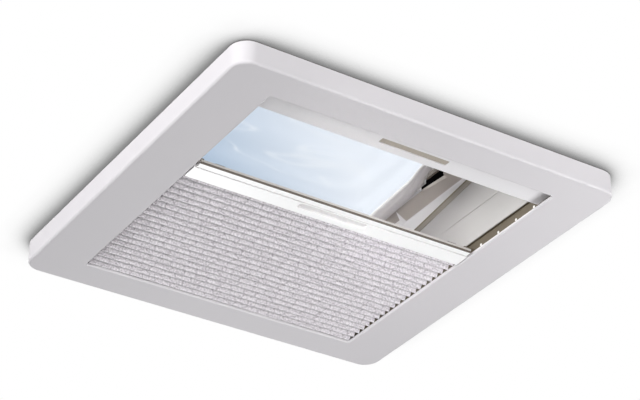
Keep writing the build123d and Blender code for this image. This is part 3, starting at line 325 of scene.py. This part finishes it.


# Roof frame: white ABS curb, with the roof flange bonded to the outside of the roof. The lips at both
# sides slope inwards and face down. They are painted grey as painted shade, and so are the ledges that go on
# from them.
lip_shade_grey = linear(176, 170, 162)
lip_height, lip_fade = 0.0117, 0.0006
lip_end_y, lip_end_fade = 0.0845, 0.0015
lip_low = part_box("dome_seal")[0][2] - lip_height
curb = moulded("curb_white", linear(236, 236, 236), 0.5)
curb_tree = curb.node_tree
curb_shader = curb_tree.nodes["Principled BSDF"]
curb_white = curb_shader.inputs["Base Color"].links[0].from_socket
curb_place = add(curb_tree, "TexCoord")
curb_axes = add(curb_tree, "SeparateXYZ")
above_wall = add(curb_tree, "MapRange", From_Min=lip_low, From_Max=lip_low + lip_fade)
before_end = add(curb_tree, "MapRange", From_Min=lip_end_y + lip_end_fade, From_Max=lip_end_y)
on_lip = add(curb_tree, "Math", "MULTIPLY")
# painted shade: the curb turns grey on the lip, above the wall and before the lip's end
lip_shaded = add(curb_tree, "MixRGB", Color2=lip_shade_grey)
curb_tree.links.new(curb_white, lip_shaded.inputs["Color1"])
join(curb_tree,
     (curb_place, "Object", curb_axes, "Vector"),
     (curb_axes, "Z", above_wall, "Value"),
     (curb_axes, "Y", before_end, "Value"),
     (above_wall, "Result", on_lip, 0),
     (before_end, "Result", on_lip, 1),
     (on_lip, 0, lip_shaded, "Fac"),
     (lip_shaded, "Color", curb_shader, "Base Color"))
dress(curb, "roof_frame")
# painted shade: the ledges carry the lip's shade grey
dress(moulded("ledge_painted_shade", lip_shade_grey, 0.8), "curb_ledge_left", "curb_ledge_right")


# Metal parts: zinc-plated steel brackets, hinge leaves, pins and pan-head screws, stamped and turned.
# The pivot brackets are painted grey, and the snap clips are bare spring steel.
zinc = moulded("zinc_steel", linear(176, 174, 172), 0.36, grain=0.00001, fine=1800.0, drift=0.12,
               metallic=0.85)
bracket_paint = moulded("bracket_grey", linear(96, 88, 80), 0.6, fine=1500.0, drift=0.1, metallic=0.3)
spring_steel = moulded("spring_steel", linear(128, 128, 132), 0.3, grain=0.00001, fine=2400.0, drift=0.1,
                       metallic=1.0)
dress(zinc, "hinge_bracket_left", "hinge_bracket_right", "hinge_leaf_left", "hinge_leaf_right", "hinge_pins",
      "hinge_bracket_screws", "hinge_leaf_screws", "pivot_bracket_screws", "bail_pivot_pins",
      "mounting_screws", "rail_screws")
dress(bracket_paint, "pivot_bracket_left", "pivot_bracket_right")
dress(spring_steel, "bezel_clips")


# Bail: aluminium tube with a soft grey powder coat, bent cold and flattened at its pivots. Its grip,
# rests and release button are moulded, and its acetal shoes run in the dome's guide rails.
dress(moulded("bail_grey", linear(192, 190, 189), 0.45, grain=0.00003, fine=1700.0), "bail_bar")
dress(moulded("grip_grey", linear(176, 174, 172), 0.5), "bail_grip", "bail_rest_left", "bail_rest_right")
dress(moulded("button_dark", linear(70, 68, 66), 0.45), "latch_button")
dress(moulded("shoe_acetal", linear(120, 112, 100), 0.35), "slide_shoes")


# Latch spring: coiled steel wire between the release button and the roof of the bail's grip. In the real
# latch its lower end goes with the button, so the coil gets shorter when the button is pressed. This coil is
# one fixed solid that keeps its length.
wire_radius, wire_sides, wire_share = 0.00035, 8, 0.98
coil_turns, coil_steps = 2.5, 60
coil_low, coil_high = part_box("latch_spring")
coil_mid = (coil_low[1] + coil_high[1]) / 2
coil_radius = (coil_high[0] - coil_low[0]) / 2 - wire_radius
coil_rise = coil_high[2] - coil_low[2] - 2 * wire_radius
wire_start = Matrix.Translation((coil_radius, coil_mid, coil_low[2] + wire_radius))
net = bmesh.new()
bmesh.ops.create_circle(net, segments=wire_sides, radius=wire_radius * wire_share,
                        matrix=wire_start @ Matrix.Rotation(math.radians(90), 4, "X"))
bmesh.ops.spin(net, geom=net.verts[:] + net.edges[:], cent=(0, coil_mid, 0), axis=(0, 0, 1),
               dvec=(0, 0, coil_rise / coil_steps), angle=math.radians(360 * coil_turns), steps=coil_steps)
bmesh.ops.holes_fill(net, edges=[edge for edge in net.edges if edge.is_boundary])
bmesh.ops.recalc_face_normals(net, faces=net.faces)
coil = placed("latch_coil", net, spring_steel)
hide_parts("latch_spring")
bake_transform(coil)


# Clear panes: faintly blue cast acrylic, blown to shape and bonded to the grey spacer frame, which also
# carries the bail's two guide rails.
def acrylic(name, roughness):
    """Clear sheet with a slow wave in it that lets the lamps' light through."""
    finish, tree, shader = begun(name)
    give(shader, Base_Color=linear(251, 252, 254), Transmission_Weight=1.0, IOR=1.15, Roughness=roughness)
    place = add(tree, "TexCoord")
    wave = add(tree, "TexNoise", Scale=9.0, Detail=1.0)
    relief = add(tree, "Bump", Strength=0.05, Distance=0.001)
    path = add(tree, "LightPath")
    lighting = add(tree, "Math", "MAXIMUM")
    through = add(tree, "BsdfTransparent", Color=(0.97, 0.97, 0.97, 1))
    either = add(tree, "MixShader")
    join(tree,
         (place, "Object", wave, "Vector"),
         (wave, "Fac", relief, "Height"),
         (relief, "Normal", shader, "Normal"),
         (path, "Is Shadow Ray", lighting, 0),
         (path, "Is Diffuse Ray", lighting, 1),
         (lighting, 0, either, "Fac"),
         (shader, "BSDF", either, 1),
         (through, 0, either, 2),
         (either, 0, tree.nodes["Material Output"], "Surface"))
    return finish


dress(acrylic("acrylic_outer", 0.06), "outer_dome")
dress(acrylic("acrylic_inner", 0.02), "inner_dome")
spacer_grey = moulded("spacer_grey", linear(214, 214, 214), 0.5)
dress(spacer_grey, "dome_spacer", "guide_rail_left", "guide_rail_right")


# Blind rails, end shoes and cassettes: olive-brown PVC profiles, cut to length and screwed to the inner
# frame, with a row of white moulded pegs in each rail.
olive = moulded("rail_olive", linear(98, 89, 74), 0.65, grain=0.00003, fine=1400.0, drift=0.12, shine=0.25)
dress(olive, "blind_rail_left", "blind_rail_right", "blackout_shoes", "flyscreen_shoes", "blackout_cassette",
      "flyscreen_cassette")
dress(moulded("peg_white", linear(238, 236, 232), 0.4), "rail_pegs")


# Pull bars: white extruded profiles. The blackout bar is lacquered on its face. Its groove and grip slot
# are painted a shade greyer as painted shade, and a seal with a strip closes its edge. Magnets in both bars
# hold them.
face_start, face_end = 0.0003, 0.0009
bar_low, bar_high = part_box("blackout_bar")
lacquered = moulded("bar_lacquer", linear(253, 253, 253), 0.4)
bar_tree = lacquered.node_tree
bar_shader = give(bar_tree.nodes["Principled BSDF"], Coat_Roughness=0.35, Coat_IOR=2.0)
bar_white = bar_shader.inputs["Base Color"].links[0].from_socket
bar_place = add(bar_tree, "TexCoord")
bar_axes = add(bar_tree, "SeparateXYZ")
on_face = add(bar_tree, "MapRange", From_Min=bar_low[2] + face_end, From_Max=bar_low[2] + face_start)
# painted shade: above the bar's face, in its groove and grip slot, the white turns greyer
recess_shade = add(bar_tree, "MixRGB", Color1=linear(230, 228, 228))
bar_tree.links.new(bar_white, recess_shade.inputs["Color2"])
join(bar_tree,
     (bar_place, "Object", bar_axes, "Vector"),
     (bar_axes, "Z", on_face, "Value"),
     (on_face, "Result", recess_shade, "Fac"),
     (recess_shade, "Color", bar_shader, "Base Color"),
     (on_face, "Result", bar_shader, "Coat Weight"))
dress(lacquered, "blackout_bar")
dress(moulded("edge_dark", linear(96, 88, 80), 0.6), "blackout_edge_seal")
dress(moulded("edge_grey_strip", linear(190, 187, 183), 0.6), "blackout_edge_strip")
dress(moulded("screen_bar_white", linear(236, 234, 236), 0.6, shine=0.3), "flyscreen_bar")
dress(moulded("tray_tan", linear(180, 171, 159), 0.6, drift=0.25), "flyscreen_grip_tray")
dress(moulded("magnet_dark", linear(60, 58, 57), 0.4, metallic=0.6), "blackout_magnets", "flyscreen_magnets")


# Blackout cloth: crepe-like pleated polyester, foil-backed, glued into the pull bar at one end and
# folded into the cassette at the other.
def pleated(name, finish, start, end, low, high, flanks, half, thick, first=0, tails=(0.0, 0.0)):
    """Zigzag cloth across Y with softly rounded folds; each fold wanders a little along its length. Its
    map runs in metres along X and in flanks across Y. Tails run into what holds the cloth's ends."""
    rounding = ((-0.16, 0.13), (-0.06, 0.02), (0.06, 0.02), (0.16, 0.13))
    slot_rise = 0.0018
    mouth_lead, mouth_drop, shelf_drop = 0.0028, 0.0004, 0.0002
    strips = 40
    sway, settle = 0.00018, 0.01
    slow_wave, slow_shift = 23, 1.7
    quick_wave, quick_shift, quick_share = 61, 4.1, 0.5
    flank = (end - start) / flanks
    points = []
    for i in range(flanks + 1):
        z, inward = (high, -1) if (first + i) % 2 else (low, 1)
        for beside, inner in rounding:
            points.append((start + flank * i + beside * flank, z + inward * inner * (high - low)))
    if tails[0]:
        points.insert(0, (start - tails[0], (low + high) / 2 + slot_rise))
    if tails[1]:
        points += [(end + mouth_lead, high - mouth_drop), (end + tails[1], high - shelf_drop)]
    net = bmesh.new()
    strip = net.verts.layers.float.new("strip")
    line = [net.verts.new((-half, y, z)) for y, z in points]
    for vert in line:
        vert[strip] = (vert.co.y - start) / flank
    for a, b in zip(line, line[1:]):
        net.edges.new((a, b))
    front = net.edges[:]
    for _ in range(strips):
        grown = bmesh.ops.extrude_edge_only(net, edges=front)
        front = [e for e in grown["geom"] if isinstance(e, bmesh.types.BMEdge)]
        verts = [v for v in grown["geom"] if isinstance(v, bmesh.types.BMVert)]
        bmesh.ops.translate(net, verts=verts, vec=(2 * half / strips, 0, 0))
    for vert in net.verts:
        fold = round((vert.co.y - start) / flank)
        waves = math.sin(vert.co.x * slow_wave + fold * slow_shift)
        waves += quick_share * math.sin(vert.co.x * quick_wave + fold * quick_shift)
        vert.co.y += sway * waves * min(1.0, max(0.0, (vert.co.y - start) / settle))
    bmesh.ops.recalc_face_normals(net, faces=net.faces)
    chart = net.loops.layers.uv.new("chart")
    for face in net.faces:
        for loop in face.loops:
            loop[chart].uv = (loop.vert.co.x, loop.vert[strip])
    cloth = placed(name, net, finish)
    wall = cloth.modifiers.new("thickness", "SOLIDIFY")
    wall.thickness = thick
    wall.offset = 0.0
    return cloth


def crepe(name, light, dark, length, low, high, deep):
    """Non-woven cloth: crinkled bricks of that length along each flank with painted shade in their
    cracks, fine specks of tone, and painted shade that sets in from low to high in the folds."""
    row_shift = -0.15
    bend = (0.5, 0.12, 0)
    crack_width, crack_share = 0.10, 0.14
    specks_along, specks_across = 7, 4.5
    finish, tree, shader = begun(name)
    give(shader, Roughness=0.95, Sheen_Weight=0.2)
    place = add(tree, "TexCoord")
    bricks = add(tree, "Mapping", Location=(0, row_shift, 0), Scale=(1 / length, 1, 1))
    wander = add(tree, "TexNoise", Scale=2.4, Detail=2.0)
    bent = add(tree, "VectorMath", "MULTIPLY_ADD")
    bent.inputs[1].default_value = bend
    brick = add(tree, "TexVoronoi")
    brick.voronoi_dimensions = "2D"
    brick.feature = "DISTANCE_TO_EDGE"
    give(brick, Scale=1.0, Randomness=0.7)
    # painted shade: the cracks between the bricks turn darker
    crack_shade = add(tree, "MapRange", From_Min=0.0, From_Max=crack_width)
    crack_shade.interpolation_type = "SMOOTHSTEP"
    fine = add(tree, "Mapping", Scale=(specks_along / length, specks_across, 1))
    speck = add(tree, "TexNoise", Scale=1.0, Detail=3.0, Roughness=0.65)
    crinkle = add(tree, "Math", "MULTIPLY_ADD")
    crinkle.inputs[1].default_value = crack_share
    tone = ramp(tree, (0.38, dark), (0.72, light))
    axes = add(tree, "SeparateXYZ")
    # painted shade: the colour darkens from low to high in the folds
    fold = add(tree, "MapRange", From_Min=low, From_Max=high, To_Min=1.0, To_Max=deep)
    fold.interpolation_type = "SMOOTHSTEP"
    shaded = add(tree, "VectorMath", "SCALE")
    relief = add(tree, "Bump", Strength=0.35, Distance=0.0006)
    join(tree,
         (place, "UV", bricks, "Vector"),
         (bricks, "Vector", wander, "Vector"),
         (wander, "Color", bent, 0),
         (bricks, "Vector", bent, 2),
         (bent, "Vector", brick, "Vector"),
         (brick, "Distance", crack_shade, "Value"),
         (place, "UV", fine, "Vector"),
         (fine, "Vector", speck, "Vector"),
         (crack_shade, "Result", crinkle, 0),
         (speck, "Fac", crinkle, 2),
         (crinkle, 0, tone, "Fac"),
         (place, "Object", axes, "Vector"),
         (axes, "Z", fold, "Value"),
         (tone, "Color", shaded, "Vector"),
         (fold, "Result", shaded, "Scale"),
         (shaded, "Vector", shader, "Base Color"),
         (crinkle, 0, relief, "Height"),
         (relief, "Normal", shader, "Normal"))
    return finish


side_play, fold_play = 0.0002, 0.0003
brick_length = 0.017
cloth_flanks, cloth_thick = 41, 0.0005
mouth_y = 0.1951
bar_tail, mouth_tail = 0.022, 0.023
shade_low, shade_high = 0.0022, 0.0062
cloth_low, cloth_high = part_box("blackout_pleats")
cloth_crepe = crepe("blackout_crepe", linear(238, 234, 238), linear(176, 170, 175), brick_length,
                    cloth_low[2] + shade_low, cloth_low[2] + shade_high, deep=0.5)
cloth = pleated("blackout_cloth", cloth_crepe, bar_high[1] + fold_play, mouth_y, cloth_low[2] + fold_play,
                cloth_high[2] - fold_play, cloth_flanks, cloth_high[0] - side_play, cloth_thick, first=1,
                tails=(bar_tail, mouth_tail))
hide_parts("blackout_pleats")
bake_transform(cloth)


# Stored blackout cloth: the folds that stay pressed together in the cassette, fixed to its back wall.
# Their colours are painted dark as painted shade, as little light reaches them.
def pressed(node, name, finish, flanks, thick):
    """Pleated cloth that fills a node's box."""
    low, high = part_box(node)
    return pleated(name, finish, low[1] + side_play, high[1] - side_play, low[2] + fold_play,
                   high[2] - fold_play, flanks, high[0] - side_play, thick)


pack_low, pack_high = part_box("blackout_pack")
# painted shade: the stored cloth's colours are dark
pack_shade_crepe = crepe("stored_crepe_painted_shade", linear(120, 114, 112), linear(80, 75, 73), brick_length,
                   pack_low[2], pack_high[2], deep=0.8)
pack = pressed("blackout_pack", "blackout_cloth_store", pack_shade_crepe, flanks=22, thick=0.0004)
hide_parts("blackout_pack")
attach(pack, "window")


# Flyscreen mesh: pleated glass-fibre gauze, glued to the screen's pull bar and to its cassette. It lies
# folded up in the cassette while the screen is parked.
thread_bundle = 0.0035
mesh_low, mesh_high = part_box("flyscreen_pleats")
gauze_crepe = crepe("gauze_grey", linear(122, 122, 120), linear(84, 84, 83), thread_bundle,
                    mesh_low[2], mesh_high[2], deep=0.9)
gauze = pressed("flyscreen_pleats", "flyscreen_mesh", gauze_crepe, flanks=24, thick=0.0003)
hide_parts("flyscreen_pleats")
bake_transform(gauze)
